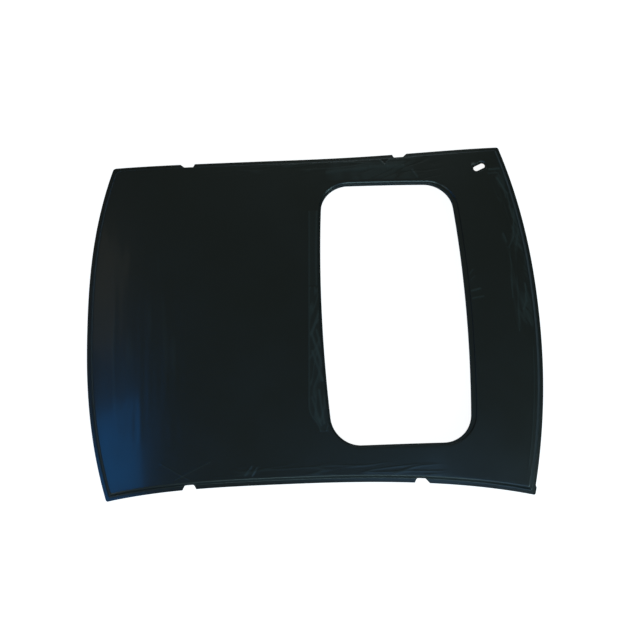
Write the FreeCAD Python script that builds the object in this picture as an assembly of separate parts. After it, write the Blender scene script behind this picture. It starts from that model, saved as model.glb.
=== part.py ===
import FreeCAD, Part

import math
import os

from FreeCAD import Vector

# The outer panel of a car roof, pressed from one sheet of steel, with the opening for a sunroof.
# X points to the front of the car, Y to its left side and Z up. The origin lies under the middle
# of the panel, level with its lowest corners. Sizes are in millimetres.

# Sheet, length and sunroof opening. The opening is measured to the inner face of its flange.
SHEET = 0.8
LENGTH = 1450.0  # from the tip of the rear edge to the tip of the front edge
OPENING_LENGTH = 456.4
OPENING_HALF_WIDTH = 430.4
FRONT_BAND = 244.4  # panel in front of the opening, along the middle
SIDE_BAND = 105.1  # panel beside the opening, at the waist
OPENING_FRONT_X = LENGTH / 2 - FRONT_BAND
OPENING_REAR_X = OPENING_FRONT_X - OPENING_LENGTH
OPENING_REAR_BOW = 16.7
OPENING_FRONT_BOW = 15.6
OPENING_BOW_Y = 400.0
OPENING_CORNER = 84.0
OPENING_FLANGE_DEPTH = 18.0
LANDING_DEPTH = 4.0  # the seal's landing, a step below the skin
LANDING_RUN = 3.0
LANDING_WIDTH = 2.5
FRONT_LANDING_WIDTH = 11.0
EDGE_BEND = 2.2

# Plan of the trimmed edge, seen from above
WAIST_HALF_WIDTH = OPENING_HALF_WIDTH + SIDE_BAND
WAIST_X = -108.0  # where the panel is narrowest
FRONT_FLARE = 53.5  # how much wider each side is at FLARE_X than at the waist
REAR_FLARE = 22.2
FLARE_X = LENGTH / 2 - 75.0
FRONT_FLARE_POWER = 2.5
REAR_FLARE_POWER = 3.0
BOW_Y = 550.0  # where the bow of the front and rear edges is measured
FRONT_BOW = 63.9
FRONT_BOW_POWER = 2.135
REAR_BOW = 68.4
REAR_BOW_POWER = 2.43
TRIM_CORNERS = (6.0, 9.0, 6.0)  # corner radii: both front ones, rear left, rear right

# Crown of the skin: how far it falls below its highest point
CROWN_ROUND = 13.1  # share of the fall to the ends that grows with the square of the distance
CROWN_ENDS = 72.2  # share that grows with the fourth power, so the middle is nearly flat
CROWN_SKEW = 2.2  # how much more the rear end falls than the front end, halved
CROWN_ACROSS = 35.0
CROWN_ACROSS_Y = 540.0  # where the fall to the side is measured

# Ditch round the border: weld flange, wall and the two bends between them
DITCH_DEPTH = 12.0
SIDE_FLANGE = 13.0
SIDE_WALL_RUN = 4.0
FRONT_FLANGE = 11.0
FRONT_WALL_RUN = 11.0
REAR_FLANGE = 12.5
REAR_WALL_RUN = 9.0
SHOULDER_BEND = 5.0
ROOT_BEND = 3.0
SHOULDER_CORNERS = (4.0, 16.0, 5.0)  # corner radii of the shoulder, in the order above
TRIM_ALLOWANCE = 8.0  # width of flange that the trimming cuts away

# Locating notches in the side flanges
NOTCH_FROM_REAR = 329.3
NOTCH_FROM_FRONT = 421.6
NOTCH_PLACES = (NOTCH_FROM_REAR - LENGTH / 2, LENGTH / 2 - NOTCH_FROM_FRONT)
NOTCH_MOUTH = 42.0
NOTCH_BASE = 29.0
NOTCH_DEPTH = 13.5
NOTCH_BEND = 4.0

# Small tabs at the two front corners
TAB_REACH = 4.0
TAB_WIDTH = 24.0

# Aerial seat near the front left corner: a flat pressed pan with a slotted hole
AERIAL_FROM_FRONT = 152.5
AERIAL_FROM_SIDE = 79.4
AERIAL_X = LENGTH / 2 - AERIAL_FROM_FRONT
AERIAL_ANGLE = 30.0
SLOT_WIDTH = 18.0
SLOT_LENGTH = 46.0
SEAT_MARGIN = 6.0  # flat land round the slot
SEAT_DEPTH = 2.5
SEAT_WALL_RUN = 3.0

# Fineness of the curves
SIDE_STEPS = 12
CORNER_STEPS = 4
SURFACE_STEPS = 16
SURFACE_MARGIN = 40.0
SHOULDER_STEPS = 4
ROOT_STEPS = 2
EDGE_STEPS = 3
CREASE = (0.0, 0)  # a bend with no radius
RUN_IN = 100.0  # length of skin that a section is drawn with
CORNER_ROUNDS = 30  # how often the meeting point of two edges is refined
SEWING_GAP = 0.01
FAR = 400.0  # taller than the whole panel, for the cutting tools


def slope(function, at):
    """Slope of a function of one value."""
    step = 0.5
    return (function(at + step) - function(at - step)) / (2 * step)


def crown(x, y):
    """Height of the outer skin, measured from its highest point."""
    u = x / (LENGTH / 2)
    v = y / CROWN_ACROSS_Y
    fall_along = CROWN_ROUND * u**2 - CROWN_SKEW * u**3 + CROWN_ENDS * u**4
    return -fall_along - CROWN_ACROSS * v**2


def below_crown(x, y, depth):
    """Point at a true depth under the outer skin, over a place in the plan."""
    along = slope(lambda s: crown(s, y), x)
    across = slope(lambda s: crown(x, s), y)
    return Vector(x, y, crown(x, y) - depth * math.sqrt(1 + along**2 + across**2))


def half_width(x):
    """Half the width of the trimmed panel."""
    if x > WAIST_X:
        share = (x - WAIST_X) / (FLARE_X - WAIST_X)
        return WAIST_HALF_WIDTH + FRONT_FLARE * share**FRONT_FLARE_POWER
    share = (WAIST_X - x) / (FLARE_X + WAIST_X)
    return WAIST_HALF_WIDTH + REAR_FLARE * share**REAR_FLARE_POWER


def front_edge(y):
    return LENGTH / 2 - FRONT_BOW * abs(y / BOW_Y) ** FRONT_BOW_POWER


def rear_edge(y):
    return -LENGTH / 2 + REAR_BOW * abs(y / BOW_Y) ** REAR_BOW_POWER


def opening_front(y):
    return OPENING_FRONT_X - OPENING_FRONT_BOW * (y / OPENING_BOW_Y) ** 2


def opening_rear(y):
    return OPENING_REAR_X + OPENING_REAR_BOW * (y / OPENING_BOW_Y) ** 2


def opening_side(x):
    return OPENING_HALF_WIDTH


BORDER = (front_edge, rear_edge, half_width)
OPENING = (opening_front, opening_rear, opening_side)


def inset(function, amount, sign):
    """The same curve moved sideways by an amount, square to itself."""
    return lambda s: function(s) + sign * amount * math.hypot(1, slope(function, s))


def meeting_point(end, side, start_x):
    """Corner where an end curve x(y) meets a side curve y(x)."""
    x = start_x
    for _ in range(CORNER_ROUNDS):
        x = end(side(x))
    return x, side(x)


def spread(start, stop, steps):
    """Evenly spaced values from start to stop."""
    return [start + (stop - start) * i / steps for i in range(steps + 1)]


def smooth_edge(points):
    """Edge through evenly spaced points, always with the same knots, so that rings match."""
    curve = Part.BSplineCurve()
    curve.interpolate(Points=points, Parameters=spread(0.0, 1.0, len(points) - 1))
    return curve.toShape()


def round_corner(first, corner, last, depths):
    """Points of a round corner, from one tangent point and depth to the other."""
    weight = math.sqrt(0.5)
    points = []
    for t in spread(0.0, 1.0, CORNER_STEPS):
        a = (1 - t) ** 2
        b = 2 * weight * t * (1 - t)
        c = t**2
        x = (a * first[0] + b * corner[0] + c * last[0]) / (a + b + c)
        y = (a * first[1] + b * corner[1] + c * last[1]) / (a + b + c)
        points.append((x, y, depths[0] + (depths[1] - depths[0]) * t))
    return points


def ring(outline, front, rear, side, corners, flat=False):
    """Closed wire inside an outline. front, rear and side are each (inset, depth under the crown).
    corners holds the plan radii of the front corners, the rear left one and the rear right one."""
    front_line = inset(outline[0], front[0], -1)
    rear_line = inset(outline[1], rear[0], 1)
    side_line = inset(outline[2], side[0], -1)
    front_corner = meeting_point(front_line, side_line, outline[0](0))
    rear_corner = meeting_point(rear_line, side_line, outline[1](0))
    front_half = front_corner[1] - corners[0]

    def side_stretches(rear_radius):
        """The left side with its two corners, from the front edge to the rear edge."""
        start = (front_line(front_half), front_half)
        long = []
        for x in spread(front_corner[0] - corners[0], rear_corner[0] + rear_radius, SIDE_STEPS):
            long.append((x, side_line(x), side[1]))
        rear_half = rear_corner[1] - rear_radius
        stop = (rear_line(rear_half), rear_half)
        front_turn = round_corner(start, front_corner, long[0], (front[1], side[1]))
        rear_turn = round_corner(long[-1], rear_corner, stop, (side[1], rear[1]))
        return [front_turn, long, rear_turn]

    ahead = [(front_line(y), y, front[1]) for y in spread(-front_half, front_half, SIDE_STEPS)]
    left = side_stretches(corners[1])
    right = []
    for part in reversed(side_stretches(corners[2])):
        right.append([(x, -y, depth) for x, y, depth in reversed(part)])
    behind = []
    for y in spread(left[-1][-1][1], right[0][0][1], SIDE_STEPS):
        behind.append((rear_line(y), y, rear[1]))

    edges = []
    for stretch in [ahead] + left + [behind] + right:
        if flat:
            places = [Vector(x, y, 0) for x, y, depth in stretch]
        else:
            places = [below_crown(x, y, depth) for x, y, depth in stretch]
        edges.append(smooth_edge(places))
    return Part.Wire(edges)


def bend(start, corner, end, radius, steps, gauge):
    """Points of a bend in a section, as an arc in steps. gauge moves them to the sheet's other face."""
    into = math.atan2(corner[1] - start[1], corner[0] - start[0])
    turn = math.atan2(end[1] - corner[1], end[0] - corner[0]) - into
    if steps == 0:
        middle = into + turn / 2
        shift = gauge / math.cos(turn / 2)
        return [(corner[0] - shift * math.sin(middle), corner[1] + shift * math.cos(middle))]
    hand = math.copysign(1.0, turn)
    reach = radius * math.tan(abs(turn) / 2)
    centre_x = corner[0] - reach * math.cos(into) - hand * radius * math.sin(into)
    centre_y = corner[1] - reach * math.sin(into) + hand * radius * math.cos(into)
    reach_out = hand * (radius - hand * gauge)
    points = []
    for angle in spread(into, into + turn, steps):
        points.append((centre_x + reach_out * math.sin(angle), centre_y - reach_out * math.cos(angle)))
    return points


def section(corners, bends, gauge):
    """Section of the sheet as (distance, depth) points: each bend in turn, then the free end."""
    points = []
    for i, (radius, steps) in enumerate(bends):
        points += bend(corners[i], corners[i + 1], corners[i + 2], radius, steps, gauge)
    before, end = corners[-2], corners[-1]
    length = math.hypot(end[0] - before[0], end[1] - before[1])
    points.append(
        (
            end[0] - (end[1] - before[1]) / length * gauge,
            end[1] + (end[0] - before[0]) / length * gauge,
        )
    )
    return points


def border_section(flange, wall_run, gauge):
    """From the skin outwards over the shoulder and down to the flange. Distances are outward."""
    shoulder = -(flange + wall_run)
    corners = (
        (shoulder - RUN_IN, 0.0),
        (shoulder, 0.0),
        (-flange, DITCH_DEPTH),
        (TRIM_ALLOWANCE, DITCH_DEPTH),
    )
    return section(corners, ((SHOULDER_BEND, SHOULDER_STEPS), (ROOT_BEND, ROOT_STEPS)), gauge)


def opening_section(landing_width, gauge):
    """From the skin over the seal's landing to the turned-down flange. Distances run into the opening."""
    step = -(landing_width + EDGE_BEND + LANDING_RUN)
    corners = (
        (step - RUN_IN, 0.0),
        (step, 0.0),
        (step + LANDING_RUN, LANDING_DEPTH),
        (0.0, LANDING_DEPTH),
        (0.0, OPENING_FLANGE_DEPTH),
    )
    return section(corners, (CREASE, CREASE, (EDGE_BEND, EDGE_STEPS)), gauge)


def border_rings(gauge):
    front = border_section(FRONT_FLANGE, FRONT_WALL_RUN, gauge)
    rear = border_section(REAR_FLANGE, REAR_WALL_RUN, gauge)
    side = border_section(SIDE_FLANGE, SIDE_WALL_RUN, gauge)
    rings = []
    for i in range(len(side)):
        insets = [(-part[i][0], part[i][1]) for part in (front, rear, side)]
        rings.append(ring(BORDER, *insets, SHOULDER_CORNERS))
    return rings


def opening_rings(gauge):
    front = opening_section(FRONT_LANDING_WIDTH, gauge)
    rest = opening_section(LANDING_WIDTH, gauge)
    rings = []
    for i in range(len(rest)):
        corners = [OPENING_CORNER - rest[i][0]] * 3
        rings.append(ring(OPENING, front[i], rest[i], rest[i], corners))
    return rings


def seat_placement():
    """Frame of the aerial seat: its origin on the skin and its Z square to it."""
    aerial_y = half_width(AERIAL_X) - AERIAL_FROM_SIDE
    along = slope(lambda s: crown(s, aerial_y), AERIAL_X)
    across = slope(lambda s: crown(AERIAL_X, s), aerial_y)
    turn = FreeCAD.Rotation(Vector(0, 0, 1), AERIAL_ANGLE)
    lean = FreeCAD.Rotation(Vector(0, 0, 1), Vector(-along, -across, 1))
    return FreeCAD.Placement(below_crown(AERIAL_X, aerial_y, 0), lean * turn)


def slot_ring(grow, depth, on_skin):
    """Wire in the shape of the slot, larger all round: on the curved skin or flat in the seat."""
    radius = SLOT_WIDTH / 2 + grow
    centre = (SLOT_LENGTH - SLOT_WIDTH) / 2
    stretches = []
    for end in (1, -1):
        start = Vector(-end * centre, -end * radius, -depth)
        stop = Vector(end * centre, -end * radius, -depth)
        stretches.append([start + (stop - start) * t for t in spread(0, 1, CORNER_STEPS)])
        arc = []
        for angle in spread(-math.pi / 2, math.pi / 2, 2 * CORNER_STEPS):
            x = centre + radius * math.cos(angle)
            y = radius * math.sin(angle)
            arc.append(Vector(end * x, end * y, -depth))
        stretches.append(arc)
    place = seat_placement()
    edges = []
    for stretch in stretches:
        points = [place.multVec(point) for point in stretch]
        if on_skin:
            points = [below_crown(point.x, point.y, depth) for point in points]
        edges.append(smooth_edge(points))
    return Part.Wire(edges)


def seat_rings(gauge):
    """From the skin down the wall of the aerial seat and over its flat land to the slot."""
    corners = (
        (-SEAT_WALL_RUN - RUN_IN, 0.0),
        (-SEAT_WALL_RUN, 0.0),
        (0.0, SEAT_DEPTH),
        (SEAT_MARGIN, SEAT_DEPTH),
    )
    points = section(corners, (CREASE, CREASE), gauge)
    rings = []
    for i, (distance, depth) in enumerate(points):
        rings.append(slot_ring(SEAT_MARGIN - distance, depth, i == 0))
    return rings


def skin_face(depth, outer, holes):
    """Crowned skin between the shoulder and its holes."""
    half_length = LENGTH / 2 + SURFACE_MARGIN
    half_breadth = half_width(LENGTH / 2) + SURFACE_MARGIN
    across = spread(-half_breadth, half_breadth, SURFACE_STEPS)
    rows = []
    for x in spread(-half_length, half_length, SURFACE_STEPS):
        rows.append([below_crown(x, y, depth) for y in across])
    surface = Part.BSplineSurface()
    surface.interpolate(rows)
    face = Part.Face(surface, outer)
    face.validate()
    face.cutHoles(holes)
    face.validate()
    return face


def pressed_sheet():
    """The sheet as it leaves the press, before trimming: two skins and what joins them."""
    top = (border_rings(0.0), opening_rings(0.0), seat_rings(0.0))
    under = (border_rings(SHEET), opening_rings(SHEET), seat_rings(SHEET))
    faces = []
    for depth, (border, opening, seat) in ((0.0, top), (SHEET, under)):
        faces.append(skin_face(depth, border[0], [opening[0], seat[0]]))
        for rings in (border, opening, seat[:-1]):
            faces += Part.makeLoft(rings, False, True).Faces
        faces.append(Part.makeFace(seat[-2:], "Part::FaceMakerBullseye"))
    for top_rings, under_rings in zip(top, under):
        faces += Part.makeLoft([top_rings[-1], under_rings[-1]], False, True).Faces
    sheet = Part.makeCompound(faces)
    sheet.sewShape(SEWING_GAP)
    return Part.makeSolid(sheet.Shells[0])


def upright(face):
    """A plan face made into a tool that passes right through the panel."""
    face = face.translated(Vector(0, 0, -FAR))
    return face.extrude(Vector(0, 0, 2 * FAR))


def front_trim(reach):
    """Cuts the front flange back to its edge between the two corner tabs."""
    points = [Vector(front_edge(y), y, 0) for y in spread(-reach, reach, SIDE_STEPS)]
    ahead = [points[-1], Vector(LENGTH, reach, 0), Vector(LENGTH, -reach, 0), points[0]]
    wire = Part.Wire([smooth_edge(points)] + Part.makePolygon(ahead).Edges)
    return upright(Part.Face(wire))


def trim_tool():
    """What the trimming leaves: the plan of the panel with its corner tabs, less the notches."""
    corner_y = meeting_point(front_edge, half_width, LENGTH / 2)[1]
    with_tabs = ring(BORDER, (-TAB_REACH, 0), (0, 0), (0, 0), TRIM_CORNERS, True)
    keep = upright(Part.Face(with_tabs))
    keep = keep.cut(front_trim(corner_y - TAB_WIDTH))
    for side in (-1, 1):
        for place in NOTCH_PLACES:
            keep = keep.cut(notch_tool(place, side))
    return keep


def notch_tool(place, side):
    """A notch with sloping sides and a rounded base, cut square to the edge."""
    edge = half_width(place)
    grow = (NOTCH_MOUTH - NOTCH_BASE) / 2 / NOTCH_DEPTH
    outside = NOTCH_DEPTH
    reach = NOTCH_MOUTH / 2 + grow * outside
    corners = [
        Vector(-NOTCH_BASE / 2, -NOTCH_DEPTH, 0),
        Vector(NOTCH_BASE / 2, -NOTCH_DEPTH, 0),
        Vector(reach, outside, 0),
        Vector(-reach, outside, 0),
    ]
    face = Part.Face(Part.makePolygon(corners + corners[:1]))
    tool = upright(face)
    base_edges = [e for e in tool.Edges if is_upright(e) and e.Vertexes[0].Y < 0]
    tool = tool.makeFillet(NOTCH_BEND, base_edges)
    tool.rotate(Vector(0, 0, 0), Vector(0, 0, 1), math.degrees(math.atan(slope(half_width, place))))
    tool.translate(Vector(place, edge, 0))
    if side < 0:
        tool = tool.mirror(Vector(0, 0, 0), Vector(0, 1, 0))
    return tool


def is_upright(edge):
    a, b = edge.Vertexes[0].Point, edge.Vertexes[-1].Point
    return abs(a.x - b.x) + abs(a.y - b.y) < 0.001


def roof_panel():
    panel = pressed_sheet().common(trim_tool()).Solids[0]
    panel.translate(Vector(0, 0, -panel.optimalBoundingBox().ZMin))
    return panel


os.makedirs("parts", exist_ok=True)
panel = roof_panel()
panel.exportStep("parts/roof_panel.step")
box = panel.optimalBoundingBox()
print("roof_panel", panel.isValid(), "volume", round(panel.Volume), "mm3")
print("box", [round(v, 2) for v in (box.XMin, box.XMax, box.YMin, box.YMax, box.ZMin, box.ZMax)])
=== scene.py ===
import math

import bmesh
import bpy
import numpy as np
from mathutils import Matrix, Quaternion, Vector, noise
from mathutils.geometry import delaunay_2d_cdt


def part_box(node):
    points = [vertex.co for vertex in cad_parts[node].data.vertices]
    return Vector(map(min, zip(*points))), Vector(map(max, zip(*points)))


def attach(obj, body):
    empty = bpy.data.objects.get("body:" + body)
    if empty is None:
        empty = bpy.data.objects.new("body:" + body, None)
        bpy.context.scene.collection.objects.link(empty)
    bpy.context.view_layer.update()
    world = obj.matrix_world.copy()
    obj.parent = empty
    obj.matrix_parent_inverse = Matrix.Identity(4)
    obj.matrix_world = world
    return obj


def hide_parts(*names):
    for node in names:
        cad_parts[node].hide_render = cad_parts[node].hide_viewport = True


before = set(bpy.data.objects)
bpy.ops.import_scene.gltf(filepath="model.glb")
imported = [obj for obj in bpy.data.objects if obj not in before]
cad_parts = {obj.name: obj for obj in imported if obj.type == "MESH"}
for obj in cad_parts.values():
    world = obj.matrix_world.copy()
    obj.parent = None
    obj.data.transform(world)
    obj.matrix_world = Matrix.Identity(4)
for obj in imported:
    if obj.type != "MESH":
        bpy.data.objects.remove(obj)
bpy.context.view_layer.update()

# The dressed roof panel is one dense sheet that follows the CAD panel's own formulas, with its
# bends round. Sizes are in millimetres in the row's axes until a mesh is made.
MM = 0.001

# Sheet, length and sunroof opening: the sizes of the CAD panel
SHEET = 0.8
LENGTH = 1450.0
OPENING_LENGTH = 456.4
OPENING_HALF_WIDTH = 430.4
FRONT_BAND = 244.4
SIDE_BAND = 105.1
OPENING_FRONT_X = LENGTH / 2 - FRONT_BAND
OPENING_REAR_X = OPENING_FRONT_X - OPENING_LENGTH
OPENING_REAR_BOW = 16.7
OPENING_FRONT_BOW = 15.6
OPENING_BOW_Y = 400.0
OPENING_CORNER = 84.0
OPENING_FLANGE_DEPTH = 18.0
LANDING_DEPTH = 4.0
LANDING_RUN = 3.0
LANDING_WIDTH = 2.5
FRONT_LANDING_WIDTH = 11.0
EDGE_BEND = 2.2

# Plan of the trimmed edge, crown and ditch
WAIST_HALF_WIDTH = OPENING_HALF_WIDTH + SIDE_BAND
WAIST_X = -108.0
FRONT_FLARE = 53.5
REAR_FLARE = 22.2
FLARE_X = LENGTH / 2 - 75.0
FRONT_FLARE_POWER = 2.5
REAR_FLARE_POWER = 3.0
BOW_Y = 550.0
FRONT_BOW = 63.9
FRONT_BOW_POWER = 2.135
REAR_BOW = 68.4
REAR_BOW_POWER = 2.43
TRIM_CORNERS = (6.0, 9.0, 6.0)
CROWN_ROUND = 13.1
CROWN_ENDS = 72.2
CROWN_SKEW = 2.2
CROWN_ACROSS = 35.0
CROWN_ACROSS_Y = 540.0
DITCH_DEPTH = 12.0
SIDE_FLANGE = 13.0
SIDE_WALL_RUN = 4.0
FRONT_FLANGE = 11.0
FRONT_WALL_RUN = 11.0
REAR_FLANGE = 12.5
REAR_WALL_RUN = 9.0
SHOULDER_BEND = 5.0
ROOT_BEND = 3.0
SHOULDER_CORNERS = (4.0, 16.0, 5.0)
TRIM_ALLOWANCE = 8.0

# Notches, corner tabs and aerial seat
NOTCH_PLACES = (329.3 - LENGTH / 2, LENGTH / 2 - 421.6)
NOTCH_MOUTH = 42.0
NOTCH_BASE = 29.0
NOTCH_DEPTH = 13.5
NOTCH_BEND = 4.0
TAB_REACH = 4.0
TAB_WIDTH = 24.0
AERIAL_X = LENGTH / 2 - 152.5
AERIAL_FROM_SIDE = 79.4
AERIAL_ANGLE = 30.0
SLOT_WIDTH = 18.0
SLOT_LENGTH = 46.0
SEAT_MARGIN = 6.0
SEAT_DEPTH = 2.5
SEAT_WALL_RUN = 3.0

# Bends that the CAD panel leaves as creases, and the flat steps of every bend
LANDING_BEND = 1.6
SEAT_BEND = 1.2
SHOULDER_BEND_STEPS = 7
ROOT_BEND_STEPS = 4
EDGE_BEND_STEPS = 5
LANDING_BEND_STEPS = 3
SEAT_BEND_STEPS = 3
RUN_IN = 100.0

# Fineness of the mesh: the grids of the skin, the stations along the rings and the rounds of each search
SKIN_STEP = 10.0
UNDER_STEP = 16.0
RELIEF_STEP = 2.2
STREAK_STEP = 5.0
GRID_HALF_WIDTH = 620.0
EDGE_STEP = 9.0
FINE_STEP = 1.6
NOTCH_REACH = 30.0
CORNER_REACH = 36.0
TAB_STEP_REACH = 12.0
CORNER_STEPS = 22
OPENING_SIDE_STEPS = 34
OPENING_END_STEPS = 76
SLOT_SIDE_STEPS = 7
SLOT_END_STEPS = 17
CORNER_ROUNDS = 30
TRIM_ROUNDS = 12
RING_GAPS = (3.0, 3.0, 2.5)
MERGE_GAP = 1e-5
WELD_GAP = 0.02
SHARP_EDGE = 50.0

# Relief of the skin. In the groups that follow, folds are (angle, length, width, layer of the noise),
# creases are (start, end, width, height) and windows are (from, to, fade).
RELIEF_LIMIT = 1.1
FOLD_SHARPNESS = 5.5
CREASE_FADE = 6.0
CREASE_OVERRUN = 0.5
PATCH_SIZE = (50.0, 70.0)
PATCH_EDGE = 0.3

# Flat band behind the opening, with its lips, joints and crumpled half
BAND_X = -18.3
BAND_LEAN = 0.038
BAND_TURN_Y = -290.0
BAND_TAPER = 34.0
BAND_START_Y = 334.0
BAND_JOINT_Y = 74.5
BAND_END_Y = -384.0
BAND_FADE = 2.6
BAND_INNER = 6.0
BAND_HEIGHT = 0.35
BAND_LIP = 0.6
BAND_CRUMPLE = 0.8
BAND_FOLDS = (78.0, 90.0, 15.0, 0.3)
JOINT_WIDTH = 2.6
BAND_CREASES = (
    ((18.0, -5.0), (-11.0, -81.0), 3.4, 1.40),
    ((-11.0, -81.0), (19.0, -181.0), 3.4, 1.40),
    ((5.0, -70.0), (16.0, -125.0), 2.6, 1.00),
    ((-11.0, -137.0), (17.0, -229.0), 3.2, 1.00),
    ((5.0, -259.0), (16.0, -360.0), 3.2, 0.90),
    ((-17.0, -280.0), (6.0, -365.0), 3.2, 0.80),
)

# Film along the front edge, from the slot to the middle of the car, and the line beyond it
FILM_WINDOW = (-60.0, 465.0, 60.0)
FILM_CLEAR = (1.0, 6.0)
FILM_NEAR = (18.0, 62.0)
FILM_WIDE = (50.0, 110.0)
FILM_RISE = 0.65
FILM_LAYER = 5.2
FILM_DIP = 0.6
FILM_FOLDS = (112.0, 60.0, 17.0, 1.7)
FILM_LONG_RISE = 0.5
FILM_LONG_FOLDS = (99.0, 190.0, 18.0, 2.4)
FRONT_CREASES = (
    ((606.0, 489.0), (642.0, 498.0), 3.2, 1.60),
    ((600.0, 474.0), (636.0, 480.0), 2.8, 0.80),
    ((630.0, 459.0), (659.0, 404.0), 3.2, 1.20),
    ((647.0, 426.0), (653.0, 388.0), 2.6, 1.00),
    ((659.0, 404.0), (666.0, 315.0), 3.0, 1.00),
    ((676.0, 345.0), (661.0, 242.0), 3.0, 1.10),
    ((661.0, 242.0), (642.0, 204.0), 3.0, 0.80),
    ((688.0, 290.0), (668.0, 215.0), 2.8, 0.90),
    ((628.0, 250.0), (636.0, 224.0), 4.0, 0.80),
    ((645.0, 200.0), (635.0, 30.0), 3.0, 0.55),
    ((664.0, 200.0), (647.0, -80.0), 3.0, 0.50),
    ((684.0, 80.0), (681.0, 20.0), 3.0, 1.10),
    ((681.0, 20.0), (668.0, -8.0), 3.0, 1.10),
)
FRONT_LINE_INSET = 34.0
FRONT_LINE_REACH = 8.0
FRONT_LINE_WIDTH = 2.6
FRONT_LINE_RISE = 0.6
FRONT_LINE_WINDOW = (-480.0, -150.0, 60.0)

# Film on the strip between the opening and the left edge
STRIP_EDGE_CLEAR = (2.0, 9.0)
STRIP_OPENING_CLEAR = (9.0, 18.0)
STRIP_WINDOW = (120.0, 300.0, 110.0)
STRIP_RISE = 0.65
STRIP_PATCH_DIP = 0.35
STRIP_LAYER = 8.8
STRIP_DIP_WINDOW = (190.0, 400.0, 70.0)
STRIP_DIP = 0.4
STRIP_FOLDS = (14.0, 90.0, 20.0, 6.2)
LEFT_CREASES = (
    ((236.0, 526.0), (248.0, 506.0), 2.8, 0.90),
    ((242.0, 527.0), (254.0, 507.0), 2.4, -1.20),
    ((270.0, 530.0), (254.0, 507.0), 2.4, -1.20),
    ((276.0, 530.0), (260.0, 507.0), 2.8, 0.90),
    ((252.0, 508.0), (262.0, 494.0), 3.0, 0.80),
    ((60.0, 478.0), (205.0, 493.0), 8.0, 0.60),
    ((205.0, 493.0), (315.0, 495.0), 8.0, 0.60),
    ((344.0, 478.0), (358.0, 452.0), 3.2, 1.00),
    ((-190.0, 505.0), (40.0, 517.0), 2.6, 0.45),
)

# Long wrinkles beside the left and right shoulders: where they fade inwards, their window, height and folds
LONG_CLEAR = (2.0, 8.0)
LEFT_LONG = ((24.0, 60.0), (-320.0, 180.0, 90.0), 0.5, (3.0, 170.0, 14.0, 7.9))
RIGHT_LONG = ((26.0, 46.0), (-230.0, 330.0, 60.0), 0.6, (2.0, 150.0, 16.0, 9.3))

# Crossed scratches at the right edge, and short wrinkles in front of the opening
RIGHT_CREASES = (
    ((-478.0, -462.0), (-392.0, -514.0), 2.2, 0.60),
    ((-436.0, -510.0), (-330.0, -462.0), 2.2, 0.60),
    ((-226.0, -506.0), (-206.0, -480.0), 2.6, 0.80),
    ((-206.0, -508.0), (-190.0, -484.0), 2.6, 0.80),
)
OPENING_CREASES = (
    ((497.0, 102.0), (512.0, 120.0), 3.0, 0.70),
    ((498.0, 46.0), (530.0, 56.0), 3.6, 1.10),
    ((499.0, 22.0), (538.0, 30.0), 3.0, 0.90),
    ((502.0, 84.0), (516.0, 98.0), 3.0, 0.60),
)

# Streaks across the rear
STREAK_X_WINDOW = (-655.0, -430.0, 40.0)
STREAK_Y_WINDOW = (-330.0, 260.0, 110.0)
STREAK_RISE = 0.6
STREAK_SIZE = (20.0, 210.0)
STREAK_LAYER = 3.3

# Where the grid of the skin is finer: boxes of (x from, x to, y from, y to). In those of the film and
# the front line, x is measured inwards from the front edge.
BAND_BOXES = ((-36.0, 40.0, -400.0, 346.0),)
FILM_BOXES = ((18.0, 95.0, -180.0, 545.0),)
FRONT_LINE_BOXES = (
    (FRONT_LINE_INSET - FRONT_LINE_REACH, FRONT_LINE_INSET + FRONT_LINE_REACH, -520.0, -170.0),
)
LEFT_BOXES = ((-400.0, 470.0, 462.0, 560.0), (110.0, 470.0, OPENING_HALF_WIDTH, 560.0))
RIGHT_BOXES = ((-300.0, 400.0, -560.0, -478.0), (-500.0, -300.0, -560.0, -440.0))
SHORT_BOXES = ((485.0, 545.0, 0.0, 130.0),)
STREAK_BOXES = ((-700.0, -390.0, -440.0, 370.0),)

# Paint: two close tones, a paler tone for the raised crests of the film's wrinkles, which is partly
# stretched film and partly a painted highlight, and noises of (scale, detail). Ranges are (from, to, result
# from, result to); the crests' goes by the height of the relief in millimetres.
PAINT_TONES = ((0.0045, 0.0068, 0.0066, 1), (0.0060, 0.0082, 0.0086, 1))
# Painted highlight: this paler colour goes on the raised crests of the relief, where light would catch
# them, over the paler tone of stretched film.
FILM_CREST_PAINTED_HIGHLIGHT = (0.027, 0.038, 0.037, 1)
FILM_CREST_PAINTED_HIGHLIGHT_RANGE = (0.22, 1.10, 0.0, 1.0)
TONE_NOISE = (2.5, 3.0)
GLOSS_NOISE = (7.0, 4.0)
GLOSS_RANGE = (0.35, 0.65, 0.345, 0.415)
GRAIN_NOISE = (900.0, 2.0)
GRAIN_STRENGTH = 0.08
GRAIN_HEIGHT = 0.0002
SPECULAR = 0.5
COAT = 0.25
COAT_ROUGHNESS = 0.12

# Floor: half its width in metres, its colour, and how much it glows towards the camera
FLOOR_HALF = 6.0
FLOOR_COLOUR = (0.5, 0.5, 0.5, 1)
FLOOR_ROUGHNESS = 0.9
FLOOR_GLOW = 0.94

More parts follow.
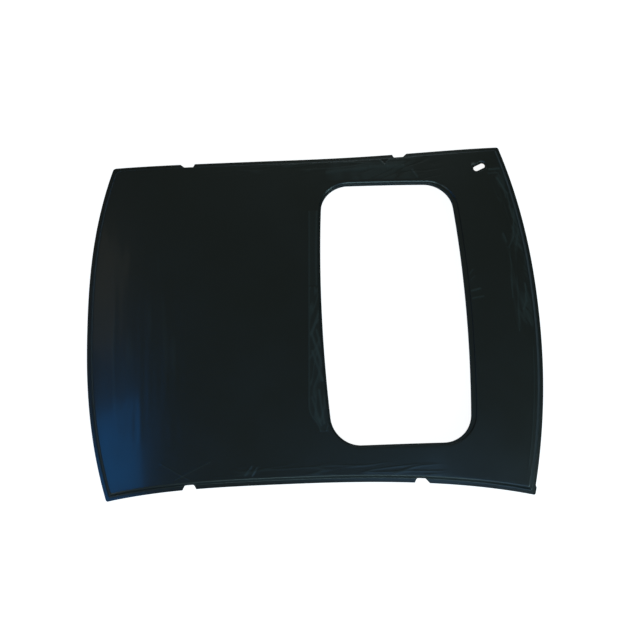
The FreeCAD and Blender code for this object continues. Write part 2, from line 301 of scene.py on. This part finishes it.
# Lamps: name, place in metres, power in watts, width and height, colour
LAMPS = (
    ("near_lamp", (0.4, -4.6, 2.1), 60, (3.0, 1.6), (0.56, 0.92, 1.0)),
    ("corner_lamp", (2.8, -2.8, 3.1), 31, (2.0, 2.0), (0.27, 0.57, 1.0)),
    ("front_lamp", (4.5, -2.0, 1.4), 44, (1.6, 1.2), (0.56, 0.92, 1.0)),
    ("corner_lamp_rear", (-3.3, -3.3, 1.7), 16, (2.0, 1.4), (0.7, 0.95, 1.0)),
    ("high_lamp", (1.2, -2.0, 4.4), 17, (2.0, 2.0), (0.24, 0.57, 1.0)),
    ("blue_lamp", (-2.9, -0.5, 2.45), 17.5, (1.2, 1.6), (0.0, 0.31, 1.0)),
    ("rear_lamp", (-3.3, 1.4, 2.2), 1.5, (1.4, 1.2), (1.0, 0.92, 0.75)),
    ("far_lamp", (0.9, 4.6, 1.8), 17, (2.6, 1.2), (0.74, 0.96, 1.0)),
)

# Room light: its colour, and how it fades from the ceiling to the horizon (height of the view, strength)
ROOM_COLOUR = (0.86, 1.0, 0.80, 1)
ROOM_FADE = (0.15, 0.55, 0.02, 0.165)
WHITE = (1, 1, 1, 1)

# Camera: its place in millimetres, its angles in degrees and its lens and sensor in millimetres
CAMERA_PLACE = (-44.0, -971.8, 3072.9)
CAMERA_ANGLES = (17.527, -0.435, -2.383)
CAMERA_LENS = 56.25
CAMERA_SENSOR = 36.0


def slope(function, at):
    """Slope of a function of one value."""
    step = 0.5
    return (function(at + step) - function(at - step)) / (2 * step)


def crown(x, y):
    """Height of the outer skin, measured from its highest point."""
    u = x / (LENGTH / 2)
    v = y / CROWN_ACROSS_Y
    return -(CROWN_ROUND * u**2 - CROWN_SKEW * u**3 + CROWN_ENDS * u**4) - CROWN_ACROSS * v**2


def below_crown(x, y, depth):
    """Point at a true depth under the outer skin, over a place in the plan."""
    along = slope(lambda s: crown(s, y), x)
    across = slope(lambda s: crown(x, s), y)
    return (x, y, crown(x, y) - depth * math.sqrt(1 + along**2 + across**2))


def half_width(x):
    """Half the width of the trimmed panel."""
    if x > WAIST_X:
        share = (x - WAIST_X) / (FLARE_X - WAIST_X)
        return WAIST_HALF_WIDTH + FRONT_FLARE * share**FRONT_FLARE_POWER
    share = (WAIST_X - x) / (FLARE_X + WAIST_X)
    return WAIST_HALF_WIDTH + REAR_FLARE * share**REAR_FLARE_POWER


def front_edge(y):
    return LENGTH / 2 - FRONT_BOW * abs(y / BOW_Y) ** FRONT_BOW_POWER


def rear_edge(y):
    return -LENGTH / 2 + REAR_BOW * abs(y / BOW_Y) ** REAR_BOW_POWER


def opening_front(y):
    return OPENING_FRONT_X - OPENING_FRONT_BOW * (y / OPENING_BOW_Y) ** 2


def opening_rear(y):
    return OPENING_REAR_X + OPENING_REAR_BOW * (y / OPENING_BOW_Y) ** 2


def opening_side(x):
    return OPENING_HALF_WIDTH


BORDER = (front_edge, rear_edge, half_width)
OPENING = (opening_front, opening_rear, opening_side)


def inset(function, amount, sign):
    """The same curve moved sideways by an amount, square to itself."""
    return lambda s: function(s) + sign * amount * math.hypot(1, slope(function, s))


def meeting_point(end, side, start_x):
    """Corner where an end curve x(y) meets a side curve y(x)."""
    x = start_x
    for _ in range(CORNER_ROUNDS):
        x = end(side(x))
    return x, side(x)


def spread(start, stop, count):
    return [start + (stop - start) * i / (count - 1) for i in range(count)]


def round_corner(first, corner, last, shares, depths):
    """Points of a round corner, from one tangent point and depth to the other."""
    weight = math.sqrt(0.5)
    points = []
    for t in shares:
        a = (1 - t) ** 2
        b = 2 * weight * t * (1 - t)
        c = t**2
        x = (a * first[0] + b * corner[0] + c * last[0]) / (a + b + c)
        y = (a * first[1] + b * corner[1] + c * last[1]) / (a + b + c)
        points.append((x, y, depths[0] + (depths[1] - depths[0]) * t))
    return points


def ring(outline, stations, front, rear, side, corners):
    """Closed ring of points inside an outline. front, rear and side are each (inset, depth).
    corners holds the plan radii of the front corners, the rear left one and the rear right one."""
    front_line = inset(outline[0], front[0], -1)
    rear_line = inset(outline[1], rear[0], 1)
    side_line = inset(outline[2], side[0], -1)
    front_corner = meeting_point(front_line, side_line, outline[0](0))
    rear_corner = meeting_point(rear_line, side_line, outline[1](0))
    front_half = front_corner[1] - corners[0]

    def side_stretches(rear_radius):
        """The left side with its two corners, from the front edge to the rear edge."""
        side_start = front_corner[0] - corners[0]
        side_end = rear_corner[0] + rear_radius
        long = []
        for t in stations["side"]:
            x = side_start + (side_end - side_start) * t
            long.append((x, side_line(x), side[1]))
        rear_half = rear_corner[1] - rear_radius
        start = (front_line(front_half), front_half)
        stop = (rear_line(rear_half), rear_half)
        shares = stations["corner"]
        front_turn = round_corner(start, front_corner, long[0], shares, (front[1], side[1]))
        rear_turn = round_corner(long[-1], rear_corner, stop, shares, (side[1], rear[1]))
        return [front_turn, long, rear_turn]

    ahead = []
    for t in stations["end"]:
        y = front_half * (2 * t - 1)
        ahead.append((front_line(y), y, front[1]))
    left = side_stretches(corners[1])
    right = []
    for part in reversed(side_stretches(corners[2])):
        right.append([(x, -y, depth) for x, y, depth in reversed(part)])
    first, last = left[-1][-1][1], right[0][0][1]
    behind = []
    for t in stations["end"]:
        y = first + (last - first) * t
        behind.append((rear_line(y), y, rear[1]))
    loop = []
    for stretch in [ahead] + left + [behind] + right:
        loop += stretch[:-1]
    return [below_crown(x, y, depth) for x, y, depth in loop]


def bend(start, corner, end, radius, steps, gauge):
    """Points of a bend in a section. gauge moves them to the sheet's other face."""
    into = math.atan2(corner[1] - start[1], corner[0] - start[0])
    turn = math.atan2(end[1] - corner[1], end[0] - corner[0]) - into
    hand = math.copysign(1.0, turn)
    reach = radius * math.tan(abs(turn) / 2)
    centre_x = corner[0] - reach * math.cos(into) - hand * radius * math.sin(into)
    centre_y = corner[1] - reach * math.sin(into) + hand * radius * math.cos(into)
    away = radius - hand * gauge
    points = []
    for angle in spread(into, into + turn, steps + 1):
        points.append((centre_x + hand * away * math.sin(angle), centre_y - hand * away * math.cos(angle)))
    return points


def section(corners, bends, gauge):
    """Section of the sheet as (distance, depth) points: each bend in turn, then the free end."""
    points = []
    for i, (radius, steps) in enumerate(bends):
        points += bend(corners[i], corners[i + 1], corners[i + 2], radius, steps, gauge)
    before, end = corners[-2], corners[-1]
    length = math.hypot(end[0] - before[0], end[1] - before[1])
    end_x = end[0] - (end[1] - before[1]) / length * gauge
    end_y = end[1] + (end[0] - before[0]) / length * gauge
    return points + [(end_x, end_y)]


def border_section(flange, wall_run, gauge):
    shoulder = -(flange + wall_run)
    corners = (
        (shoulder - RUN_IN, 0.0),
        (shoulder, 0.0),
        (-flange, DITCH_DEPTH),
        (TRIM_ALLOWANCE, DITCH_DEPTH),
    )
    bends = ((SHOULDER_BEND, SHOULDER_BEND_STEPS), (ROOT_BEND, ROOT_BEND_STEPS))
    return section(corners, bends, gauge)


def opening_section(landing_width, gauge):
    step = -(landing_width + EDGE_BEND + LANDING_RUN)
    corners = (
        (step - RUN_IN, 0.0),
        (step, 0.0),
        (step + LANDING_RUN, LANDING_DEPTH),
        (0.0, LANDING_DEPTH),
        (0.0, OPENING_FLANGE_DEPTH),
    )
    landing = (LANDING_BEND, LANDING_BEND_STEPS)
    return section(corners, (landing, landing, (EDGE_BEND, EDGE_BEND_STEPS)), gauge)


def side_stations():
    """Shares of the way along a side, closer together at the notches and corners."""
    fine = [(place, NOTCH_REACH) for place in NOTCH_PLACES]
    fine += [(LENGTH / 2 - FRONT_BOW, CORNER_REACH), (REAR_BOW - LENGTH / 2, CORNER_REACH)]
    first, last = LENGTH / 2 - FRONT_BOW, REAR_BOW - LENGTH / 2
    shares = []
    x = first
    while x > last:
        shares.append((x - first) / (last - first))
        near = any(abs(x - place) < reach for place, reach in fine)
        x -= FINE_STEP if near else EDGE_STEP
    return shares + [1.0]


def end_stations():
    """Shares of the way across an end, closer together at the tabs and corners."""
    half = CORNER_Y - SHOULDER_CORNERS[0]
    fine = ((CORNER_Y - TAB_WIDTH, TAB_STEP_REACH), (CORNER_Y, CORNER_REACH))
    shares = []
    y = -half
    while y < half:
        shares.append((y + half) / (2 * half))
        near = any(abs(abs(y) - place) < reach for place, reach in fine)
        y += FINE_STEP if near else EDGE_STEP
    return shares + [1.0]


def rounded_and(a, b, radius):
    """Distance inside two crossing lines whose corner is rounded."""
    if a < radius and b < radius:
        return radius - math.hypot(radius - a, radius - b)
    return min(a, b)


CORNER_Y = meeting_point(front_edge, half_width, LENGTH / 2)[1]


def inside_trim(x, y):
    """How far a place lies inside the trimmed edge of the panel, below zero outside it."""
    side = half_width(x) - abs(y)
    tab = TAB_REACH if y < TAB_WIDTH - CORNER_Y else 0.0
    front = front_edge(y) + tab - x
    rear = x - rear_edge(y)
    rear_radius = TRIM_CORNERS[1] if y > 0 else TRIM_CORNERS[2]
    inside = min(rounded_and(front, side, TRIM_CORNERS[0]), rounded_and(rear, side, rear_radius))
    for place in NOTCH_PLACES:
        past_base = NOTCH_DEPTH - side
        half = NOTCH_BASE / 2 + (NOTCH_MOUTH - NOTCH_BASE) / 2 * max(0.0, past_base) / NOTCH_DEPTH
        notch = rounded_and(past_base, half - abs(x - place), NOTCH_BEND)
        inside = min(inside, -notch)
    return inside


def trimmed(column):
    """A column of points from the skin to the flange, cut off where it crosses the trimmed edge."""
    for i in range(len(column) - 1):
        a, b = column[i], column[i + 1]
        if inside_trim(b[0], b[1]) >= 0:
            continue
        low, high = 0.0, 1.0
        for _ in range(TRIM_ROUNDS):
            middle = (low + high) / 2
            x = a[0] + (b[0] - a[0]) * middle
            y = a[1] + (b[1] - a[1]) * middle
            if inside_trim(x, y) > 0:
                low = middle
            else:
                high = middle
        cut = tuple(a[k] + (b[k] - a[k]) * low for k in range(3))
        return column[: i + 1] + [cut] * (len(column) - i - 1)
    return column


def border_rings(gauge):
    front = border_section(FRONT_FLANGE, FRONT_WALL_RUN, gauge)
    rear = border_section(REAR_FLANGE, REAR_WALL_RUN, gauge)
    side = border_section(SIDE_FLANGE, SIDE_WALL_RUN, gauge)
    stations = {
        "side": side_stations(),
        "end": end_stations(),
        "corner": spread(0.0, 1.0, CORNER_STEPS),
    }
    rings = []
    for i in range(len(side)):
        insets = [(-part[i][0], part[i][1]) for part in (front, rear, side)]
        rings.append(ring(BORDER, stations, *insets, SHOULDER_CORNERS))
    columns = [trimmed([r[k] for r in rings]) for k in range(len(rings[0]))]
    return [[column[i] for column in columns] for i in range(len(rings))]


def opening_rings(gauge):
    front = opening_section(FRONT_LANDING_WIDTH, gauge)
    rest = opening_section(LANDING_WIDTH, gauge)
    stations = {
        "side": spread(0.0, 1.0, OPENING_SIDE_STEPS),
        "end": spread(0.0, 1.0, OPENING_END_STEPS),
        "corner": spread(0.0, 1.0, CORNER_STEPS),
    }
    rings = []
    for i in range(len(rest)):
        corners = [OPENING_CORNER - rest[i][0]] * 3
        rings.append(ring(OPENING, stations, front[i], rest[i], rest[i], corners))
    return rings


def seat_frame():
    """Matrix of the aerial seat: its origin on the skin and its Z square to it."""
    aerial_y = half_width(AERIAL_X) - AERIAL_FROM_SIDE
    along = slope(lambda s: crown(s, aerial_y), AERIAL_X)
    across = slope(lambda s: crown(AERIAL_X, s), aerial_y)
    turn = Quaternion((0, 0, 1), math.radians(AERIAL_ANGLE))
    lean = Vector((0, 0, 1)).rotation_difference(Vector((-along, -across, 1)))
    place = Vector(below_crown(AERIAL_X, aerial_y, 0))
    return Matrix.Translation(place) @ (lean @ turn).to_matrix().to_4x4()


def slot_ring(grow, depth, on_skin):
    """Ring in the shape of the slot, larger all round."""
    radius = SLOT_WIDTH / 2 + grow
    centre = (SLOT_LENGTH - SLOT_WIDTH) / 2
    plan = []
    for end in (1, -1):
        for t in spread(-1.0, 1.0, SLOT_SIDE_STEPS)[:-1]:
            plan.append((end * centre * t, -end * radius))
        for angle in spread(-math.pi / 2, math.pi / 2, SLOT_END_STEPS)[:-1]:
            plan.append((end * (centre + radius * math.cos(angle)), end * radius * math.sin(angle)))
    place = seat_frame()
    points = [tuple(place @ Vector((x, y, -depth))) for x, y in plan]
    if on_skin:
        points = [below_crown(x, y, depth) for x, y, z in points]
    return points


def seat_rings(gauge):
    corners = (
        (-SEAT_WALL_RUN - RUN_IN, 0.0),
        (-SEAT_WALL_RUN, 0.0),
        (0.0, SEAT_DEPTH),
        (SEAT_MARGIN, SEAT_DEPTH),
    )
    points = section(corners, ((SEAT_BEND, SEAT_BEND_STEPS),) * 2, gauge)
    rings = []
    for i, (distance, depth) in enumerate(points):
        rings.append(slot_ring(SEAT_MARGIN - distance, depth, i == 0))
    return rings


def within(points, loop):
    """Which of the points lie inside a closed loop, seen from above."""
    px, py = points[:, 0], points[:, 1]
    inside = np.zeros(len(points), bool)
    ends = np.array([p[:2] for p in loop])
    starts = np.roll(ends, 1, axis=0)
    for (x0, y0), (x1, y1) in zip(starts, ends):
        if y0 == y1:
            continue
        crosses = (py < y0) != (py < y1)
        inside ^= crosses & (px < x0 + (py - y0) * (x1 - x0) / (y1 - y0))
    return inside


def near_loop(points, loop, gap):
    """Which of the points lie within a gap of the corners of a loop."""
    close = np.zeros(len(points), bool)
    for x, y in np.array([p[:2] for p in loop]):
        close |= (points[:, 0] - x) ** 2 + (points[:, 1] - y) ** 2 < gap**2
    return close


class SheetMesh:
    """Points and faces of the sheet as they are gathered."""

    def __init__(self):
        self.points = []
        self.crests = []
        self.faces = []

    def add(self, points, crests=None):
        first = len(self.points)
        self.points += points
        self.crests += crests or [0.0] * len(points)
        return list(range(first, first + len(points)))

    def bridge(self, outer, inner, turn):
        """Quads between two rings of the same number of points."""
        count = len(outer)
        for k in range(count):
            quad = (outer[k], outer[(k + 1) % count], inner[(k + 1) % count], inner[k])
            self.faces.append(quad if turn else quad[::-1])


def ease(value, start, stop):
    """Smooth change from 0 at start to 1 at stop."""
    t = min(1.0, max(0.0, (value - start) / (stop - start)))
    return t * t * (3 - 2 * t)


def window(value, start, stop, fade):
    """1 between start and stop, fading to 0 outside them."""
    return ease(value, start - fade, start) * (1 - ease(value, stop, stop + fade))


def ridge(distance, width):
    return math.exp(-((distance / width) ** 2))


def folds(x, y, angle, length, width, layer):
    """Sharp crests like those of crumpled film, drawn out along an angle."""
    a = math.radians(angle)
    along = (x * math.cos(a) + y * math.sin(a)) / length
    across = (y * math.cos(a) - x * math.sin(a)) / width
    return max(0.0, 1 - FOLD_SHARPNESS * abs(noise.noise((along, across, layer))))


def patches(x, y, layer):
    """Soft patches, from 0 to 1."""
    soft = noise.noise((x / PATCH_SIZE[0], y / PATCH_SIZE[1], layer))
    return ease(soft, -PATCH_EDGE, PATCH_EDGE)


def creases(x, y, lines):
    """Crests along single lines, each (start, end, width, height)."""
    height = 0.0
    for (x0, y0), (x1, y1), width, rise in lines:
        long_x, long_y = x1 - x0, y1 - y0
        length = math.hypot(long_x, long_y)
        along = ((x - x0) * long_x + (y - y0) * long_y) / length
        if -CREASE_OVERRUN * length < along < (1 + CREASE_OVERRUN) * length:
            across = ((y - y0) * long_x - (x - x0) * long_y) / length
            height += rise * ridge(across, width) * window(along, 0.0, length, CREASE_FADE)
    return height


def rear_band(x, y):
    """The flat raised band along the opening's rear edge, wrinkled in its right half."""
    taper = ease(BAND_TURN_Y - y, 0.0, BAND_TURN_Y - BAND_END_Y) ** 2
    left = BAND_X + BAND_LEAN * y + BAND_TAPER * taper
    right = opening_rear(y) - LANDING_WIDTH - EDGE_BEND - LANDING_RUN
    inside = x - left
    within_band = window(y, BAND_END_Y, BAND_START_Y, BAND_FADE) * (1 - ease(x, right - BAND_FADE, right))
    height = BAND_HEIGHT * ease(inside, 0.0, BAND_FADE) + BAND_LIP * ridge(inside - BAND_FADE, BAND_FADE)
    flat = ease(y, BAND_JOINT_Y - BAND_FADE, BAND_JOINT_Y)
    height += BAND_LIP * flat * ridge(right - x - BAND_INNER, BAND_FADE)
    height -= BAND_HEIGHT * ease(inside, 0.0, BAND_FADE) * ridge(y - BAND_JOINT_Y, JOINT_WIDTH)
    crumple = (1 - flat) * ease(inside, BAND_FADE, 3 * BAND_FADE)
    height += BAND_CRUMPLE * crumple * folds(x, y, *BAND_FOLDS)
    height += creases(x, y, BAND_CREASES)
    return height * within_band


def front_film(x, y):
    """Wrinkles along the front edge, between the slot and the middle of the car."""
    inside = front_edge(y) - x - FRONT_FLANGE - FRONT_WALL_RUN
    clear = ease(inside, *FILM_CLEAR)
    strong = window(y, *FILM_WINDOW) * clear
    near = strong * (1 - ease(inside, *FILM_NEAR))
    wide = strong * (1 - ease(inside, *FILM_WIDE))
    height = near * (FILM_RISE * patches(x, y, FILM_LAYER) - FILM_DIP * folds(x, y, *FILM_FOLDS))
    height += FILM_LONG_RISE * wide * folds(x, y, *FILM_LONG_FOLDS)
    return height + creases(x, y, FRONT_CREASES) * clear


def front_line(x, y):
    """A low line that runs along the front edge on the car's right side."""
    inset_line = front_edge(y) - x - FRONT_LINE_INSET
    return FRONT_LINE_RISE * ridge(inset_line, FRONT_LINE_WIDTH) * window(y, *FRONT_LINE_WINDOW)


def long_folds(x, y, inside, fade, along, rise, shape):
    """Long low wrinkles at a distance inside a shoulder."""
    where = ease(inside, *LONG_CLEAR) * (1 - ease(inside, *fade)) * window(x, *along)
    return rise * where * folds(x, y, *shape)


def left_strip(x, y):
    """Wrinkles of the strip between the opening and the left edge."""
    inside = half_width(x) - SIDE_FLANGE - SIDE_WALL_RUN - y
    from_opening = y - OPENING_HALF_WIDTH
    clear = ease(inside, *STRIP_EDGE_CLEAR) * ease(from_opening, *STRIP_OPENING_CLEAR)
    raised = STRIP_RISE - STRIP_PATCH_DIP * patches(x, y, STRIP_LAYER)
    height = clear * window(x, *STRIP_WINDOW) * raised
    dipped = clear * window(x, *STRIP_DIP_WINDOW)
    height -= STRIP_DIP * dipped * folds(x, y, *STRIP_FOLDS)
    return height + long_folds(x, y, inside, *LEFT_LONG) + creases(x, y, LEFT_CREASES)


def right_strip(x, y):
    """Long low wrinkles beside the right shoulder, and the crossed scratches behind them."""
    inside = y + half_width(x) - SIDE_FLANGE - SIDE_WALL_RUN
    return long_folds(x, y, inside, *RIGHT_LONG) + creases(x, y, RIGHT_CREASES)


def front_of_opening(x, y):
    """Short wrinkles in front of the opening."""
    return creases(x, y, OPENING_CREASES)


def streaks(x, y):
    """Faint long waves across the rear of the panel."""
    where = window(x, *STREAK_X_WINDOW) * window(y, *STREAK_Y_WINDOW)
    return STREAK_RISE * where * noise.noise((x / STREAK_SIZE[0], y / STREAK_SIZE[1], STREAK_LAYER))


# Each form of relief, its boxes, whether they are measured from the front edge, and its grid's step
RELIEF = (
    (rear_band, BAND_BOXES, False, RELIEF_STEP),
    (front_film, FILM_BOXES, True, RELIEF_STEP),
    (front_line, FRONT_LINE_BOXES, True, RELIEF_STEP),
    (left_strip, LEFT_BOXES, False, RELIEF_STEP),
    (right_strip, RIGHT_BOXES, False, RELIEF_STEP),
    (front_of_opening, SHORT_BOXES, False, RELIEF_STEP),
    (streaks, STREAK_BOXES, False, STREAK_STEP),
)


def relief(x, y):
    """Height of the wrinkles and press marks above the smooth skin, held under a limit."""
    height = sum(row[0](x, y) for row in RELIEF)
    return RELIEF_LIMIT * math.tanh(height / RELIEF_LIMIT)


def in_relief(places, step):
    """Which places lie in the boxes of the relief that has a grid of this step."""
    x, y = places[:, 0], places[:, 1]
    from_edge = front_edge(y) - x
    inside = np.zeros(len(places), bool)
    for _, boxes, at_front, box_step in RELIEF:
        if box_step != step:
            continue
        along = from_edge if at_front else x
        for x0, x1, y0, y1 in boxes:
            inside |= (along > x0) & (along < x1) & (y > y0) & (y < y1)
    return inside


def lattice(step):
    """Even grid of places, with every other row shifted, so that no row shows in the shading."""
    xs = np.arange(-LENGTH / 2, LENGTH / 2, step)
    ys = np.arange(-GRID_HALF_WIDTH, GRID_HALF_WIDTH, step)
    rows = []
    for i, x in enumerate(xs):
        shift = step / 2 if i % 2 else 0.0
        rows.append(np.stack([np.full(len(ys), x), ys + shift], axis=1))
    return np.concatenate(rows)


def skin_places():
    """Places on the outer skin: a wide grid with finer ones where it has relief."""
    fine, streak, wide = lattice(RELIEF_STEP), lattice(STREAK_STEP), lattice(SKIN_STEP)
    keep_fine = in_relief(fine, RELIEF_STEP)
    keep_streak = in_relief(streak, STREAK_STEP) & ~in_relief(streak, RELIEF_STEP)
    keep_wide = ~in_relief(wide, RELIEF_STEP) & ~in_relief(wide, STREAK_STEP)
    return np.concatenate([fine[keep_fine], streak[keep_streak], wide[keep_wide]])


def fill_skin(sheet, depth, loops, indices, grid, raised, upward):
    """Triangles of the crowned skin between the border's ring and the holes' rings."""
    border, opening, seat = loops
    keep = within(grid, border) & ~within(grid, opening) & ~within(grid, seat)
    for loop, gap in zip(loops, RING_GAPS):
        keep &= ~near_loop(grid, loop, gap)
    inner = grid[keep]
    plan = [Vector(p[:2]) for loop in loops for p in loop] + [Vector(p) for p in inner]
    edges = []
    first = 0
    for loop in loops:
        count = len(loop)
        edges += [(first + k, first + (k + 1) % count) for k in range(count)]
        first += count
    placed = [i for ring_indices in indices for i in ring_indices]
    heights = [relief(x, y) if raised else 0.0 for x, y in inner]
    raised_points = [below_crown(x, y, depth - rise) for (x, y), rise in zip(inner, heights)]
    placed += sheet.add(raised_points, heights)
    out_points, _, triangles, origins, _, _ = delaunay_2d_cdt(plan, edges, [], 0, MERGE_GAP)
    middles = np.array([[sum(out_points[i][k] for i in t) / 3 for k in (0, 1)] for t in triangles])
    wanted = within(middles, border) & ~within(middles, opening) & ~within(middles, seat)
    for t, used in zip(triangles, wanted):
        if not used:
            continue
        face = tuple(placed[origins[i][0]] for i in t)
        sheet.faces.append(face if upward else face[::-1])


def panel_mesh():
    sheet = SheetMesh()
    rims = []
    for gauge, upward in ((0.0, True), (SHEET, False)):
        groups = (border_rings(gauge), opening_rings(gauge), seat_rings(gauge))
        starts = []
        for number, rings in enumerate(groups):
            indices = [sheet.add(r) for r in rings]
            starts.append(indices[0])
            for a, b in zip(indices, indices[1:]):
                sheet.bridge(a, b, upward == (number != 0))
            rims.append(indices[-1])
        loops = [rings[0] for rings in groups]
        places = skin_places() if upward else lattice(UNDER_STEP)
        fill_skin(sheet, gauge, loops, starts, places, upward, upward)
    for number in range(3):
        sheet.bridge(rims[number], rims[number + 3], number != 0)
    return sheet


def make_panel():
    sheet = panel_mesh()
    top = max(p.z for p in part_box("roof_panel")) / MM
    mesh = bpy.data.meshes.new("roof_sheet")
    placed = [(x * MM, y * MM, (z + top) * MM) for x, y, z in sheet.points]
    mesh.from_pydata(placed, [], sheet.faces)
    # The crest attribute carries the relief height into the paint, for the painted highlight on the raised
    # crests.
    mesh.attributes.new("crest", "FLOAT", "POINT").data.foreach_set("value", sheet.crests)
    panel = bpy.data.objects.new("roof_sheet", mesh)
    bpy.context.scene.collection.objects.link(panel)

    work = bmesh.new()
    work.from_mesh(mesh)
    bmesh.ops.remove_doubles(work, verts=work.verts, dist=WELD_GAP * MM)
    bmesh.ops.recalc_face_normals(work, faces=work.faces)
    for face in work.faces:
        face.smooth = True
    for edge in work.edges:
        if len(edge.link_faces) == 2 and edge.calc_face_angle() > math.radians(SHARP_EDGE):
            edge.smooth = False
    print("panel", len(work.verts), "points", len(work.faces), "faces", "open edges",
          sum(1 for e in work.edges if len(e.link_faces) != 2))
    work.to_mesh(mesh)
    work.free()
    mesh.materials.append(black_paint())
    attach(panel, "root")
    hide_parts("roof_panel")
    return panel


def noise_value(tree, place, settings):
    """Noise of a scale and detail in the panel's own space."""
    node = tree.nodes.new("ShaderNodeTexNoise")
    node.inputs["Scale"].default_value, node.inputs["Detail"].default_value = settings
    tree.links.new(place, node.inputs["Vector"])
    return node.outputs["Fac"]


def ranged(tree, value, limits):
    """A value brought from one range to another: from, to, result from, result to."""
    node = tree.nodes.new("ShaderNodeMapRange")
    for socket, limit in zip(("From Min", "From Max", "To Min", "To Max"), limits):
        node.inputs[socket].default_value = limit
    tree.links.new(value, node.inputs["Value"])
    return node.outputs["Result"]


def black_paint():
    """Semi-gloss black electrocoat over steel. Raised crests of the film's wrinkles are paler: partly
    stretched film, partly a painted highlight.
    """
    paint = bpy.data.materials.new("black_paint")
    paint.use_nodes = True
    tree = paint.node_tree
    nodes, links = tree.nodes, tree.links
    shader = nodes["Principled BSDF"]
    shader.inputs["Specular IOR Level"].default_value = SPECULAR
    shader.inputs["Coat Weight"].default_value = COAT
    shader.inputs["Coat Roughness"].default_value = COAT_ROUGHNESS
    place = nodes.new("ShaderNodeTexCoord").outputs["Object"]

    tone = nodes.new("ShaderNodeMix")
    tone.data_type = "RGBA"
    tone.inputs["A"].default_value, tone.inputs["B"].default_value = PAINT_TONES
    links.new(noise_value(tree, place, TONE_NOISE), tone.inputs["Factor"])
    # Painted highlight: the crest attribute, the height of the relief, makes the raised crests paler.
    crest = nodes.new("ShaderNodeAttribute")
    crest.attribute_name = "crest"
    film = nodes.new("ShaderNodeMix")
    film.data_type = "RGBA"
    film.inputs["B"].default_value = FILM_CREST_PAINTED_HIGHLIGHT
    links.new(ranged(tree, crest.outputs["Fac"], FILM_CREST_PAINTED_HIGHLIGHT_RANGE), film.inputs["Factor"])
    links.new(tone.outputs["Result"], film.inputs["A"])
    links.new(film.outputs["Result"], shader.inputs["Base Color"])

    gloss = ranged(tree, noise_value(tree, place, GLOSS_NOISE), GLOSS_RANGE)
    links.new(gloss, shader.inputs["Roughness"])

    bump = nodes.new("ShaderNodeBump")
    bump.inputs["Strength"].default_value = GRAIN_STRENGTH
    bump.inputs["Distance"].default_value = GRAIN_HEIGHT
    links.new(noise_value(tree, place, GRAIN_NOISE), bump.inputs["Height"])
    links.new(bump.outputs["Normal"], shader.inputs["Normal"])
    return paint


def make_floor():
    """Plain grey floor with a white glow for the camera alone, so the glow adds no light to the panel."""
    mesh = bpy.data.meshes.new("floor")
    corners = [(-FLOOR_HALF, -FLOOR_HALF, 0), (FLOOR_HALF, -FLOOR_HALF, 0)]
    corners += [(FLOOR_HALF, FLOOR_HALF, 0), (-FLOOR_HALF, FLOOR_HALF, 0)]
    mesh.from_pydata(corners, [], [(0, 1, 2, 3)])
    floor = bpy.data.objects.new("floor", mesh)
    bpy.context.scene.collection.objects.link(floor)
    pale = bpy.data.materials.new("pale_floor")
    pale.use_nodes = True
    nodes = pale.node_tree.nodes
    links = pale.node_tree.links
    shader = nodes["Principled BSDF"]
    shader.inputs["Base Color"].default_value = FLOOR_COLOUR
    shader.inputs["Emission Color"].default_value = WHITE
    shader.inputs["Roughness"].default_value = FLOOR_ROUGHNESS
    shader.inputs["Specular IOR Level"].default_value = 0.0
    path = nodes.new("ShaderNodeLightPath")
    glow = nodes.new("ShaderNodeMath")
    glow.operation = "MULTIPLY"
    glow.inputs[1].default_value = FLOOR_GLOW
    links.new(path.outputs["Is Camera Ray"], glow.inputs[0])
    links.new(glow.outputs["Value"], shader.inputs["Emission Strength"])
    mesh.materials.append(pale)


def lamp(name, place, power, size, colour):
    """Soft lamp that looks at the middle of the panel. size is its width and height."""
    light = bpy.data.lights.new(name, "AREA")
    light.energy = power
    light.shape = "RECTANGLE"
    light.size, light.size_y = size
    light.color = colour
    obj = bpy.data.objects.new(name, light)
    obj.location = place
    obj.rotation_euler = (-Vector(place)).to_track_quat("-Z", "Y").to_euler()
    bpy.context.scene.collection.objects.link(obj)


def make_light():
    """Soft lamps, most of them on the right side of the car, and a dim room with a white backdrop."""
    for row in LAMPS:
        lamp(*row)
    world = bpy.data.worlds.new("studio")
    world.use_nodes = True
    nodes = world.node_tree.nodes
    links = world.node_tree.links
    room = nodes["Background"]
    room.inputs["Color"].default_value = ROOM_COLOUR
    way = nodes.new("ShaderNodeTexCoord")
    parts = nodes.new("ShaderNodeSeparateXYZ")
    links.new(way.outputs["Generated"], parts.inputs["Vector"])
    links.new(ranged(world.node_tree, parts.outputs["Z"], ROOM_FADE), room.inputs["Strength"])
    backdrop = nodes.new("ShaderNodeBackground")
    backdrop.inputs["Color"].default_value = WHITE
    path = nodes.new("ShaderNodeLightPath")
    either = nodes.new("ShaderNodeMixShader")
    links.new(path.outputs["Is Camera Ray"], either.inputs["Fac"])
    links.new(room.outputs["Background"], either.inputs[1])
    links.new(backdrop.outputs["Background"], either.inputs[2])
    links.new(either.outputs["Shader"], nodes["World Output"].inputs["Surface"])
    bpy.context.scene.world = world


def make_camera():
    camera = bpy.data.cameras.new("camera")
    camera.lens = CAMERA_LENS
    camera.sensor_width = CAMERA_SENSOR
    obj = bpy.data.objects.new("camera", camera)
    obj.location = [c * MM for c in CAMERA_PLACE]
    obj.rotation_euler = [math.radians(a) for a in CAMERA_ANGLES]
    bpy.context.scene.collection.objects.link(obj)
    bpy.context.scene.camera = obj


make_panel()
make_floor()
make_light()
make_camera()
bpy.context.scene.view_settings.view_transform = "Standard"
